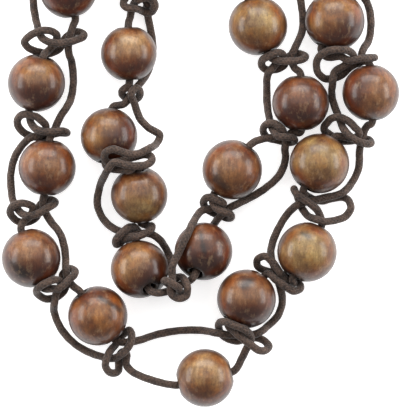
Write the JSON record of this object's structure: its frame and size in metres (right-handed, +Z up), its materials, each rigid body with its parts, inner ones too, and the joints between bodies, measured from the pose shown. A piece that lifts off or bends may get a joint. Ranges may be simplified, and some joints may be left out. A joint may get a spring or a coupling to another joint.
{
  "type": "beaded necklace",
  "caption": "Beaded necklace of round wooden beads on two dark fabric cords, with a knot tied between each pair of beads, lying folded.",
  "frame": {"origin": "centre of the necklace's box on the plane of the surface that it lies on", "axes": "+Z up from the surface, +Y along the folded loop's length, +X across it"},
  "size_m": [0.1382, 0.1974, 0.0217],
  "materials": {
    "bead_wood": "gloss",
    "cord_fabric": "satin"
  },
  "bodies": {
    "root": {"bead_01": "bead_wood", "bead_02": "bead_wood", "bead_03": "bead_wood", "bead_04": "bead_wood", "bead_05": "bead_wood", "bead_06": "bead_wood", "bead_07": "bead_wood", "bead_08": "bead_wood", "bead_09": "bead_wood", "bead_10": "bead_wood", "bead_11": "bead_wood", "bead_12": "bead_wood", "bead_13": "bead_wood", "bead_14": "bead_wood", "bead_15": "bead_wood", "bead_16": "bead_wood", "bead_17": "bead_wood", "bead_18": "bead_wood", "bead_19": "bead_wood", "bead_20": "bead_wood", "bead_21": "bead_wood", "bead_22": "bead_wood", "bead_23": "bead_wood", "bead_24": "bead_wood", "cord_01": "cord_fabric", "cord_02": "cord_fabric", "cord_03": "cord_fabric", "cord_04": "cord_fabric", "cord_05": "cord_fabric", "cord_06": "cord_fabric", "cord_07": "cord_fabric", "cord_08": "cord_fabric", "cord_09": "cord_fabric", "cord_10": "cord_fabric", "cord_11": "cord_fabric", "cord_12": "cord_fabric", "cord_13": "cord_fabric", "cord_14": "cord_fabric", "cord_15": "cord_fabric", "cord_16": "cord_fabric", "cord_17": "cord_fabric", "cord_18": "cord_fabric", "cord_19": "cord_fabric", "cord_20": "cord_fabric", "cord_21": "cord_fabric", "cord_22": "cord_fabric", "cord_23": "cord_fabric", "cord_24": "cord_fabric"}
  },
  "joints": []
}
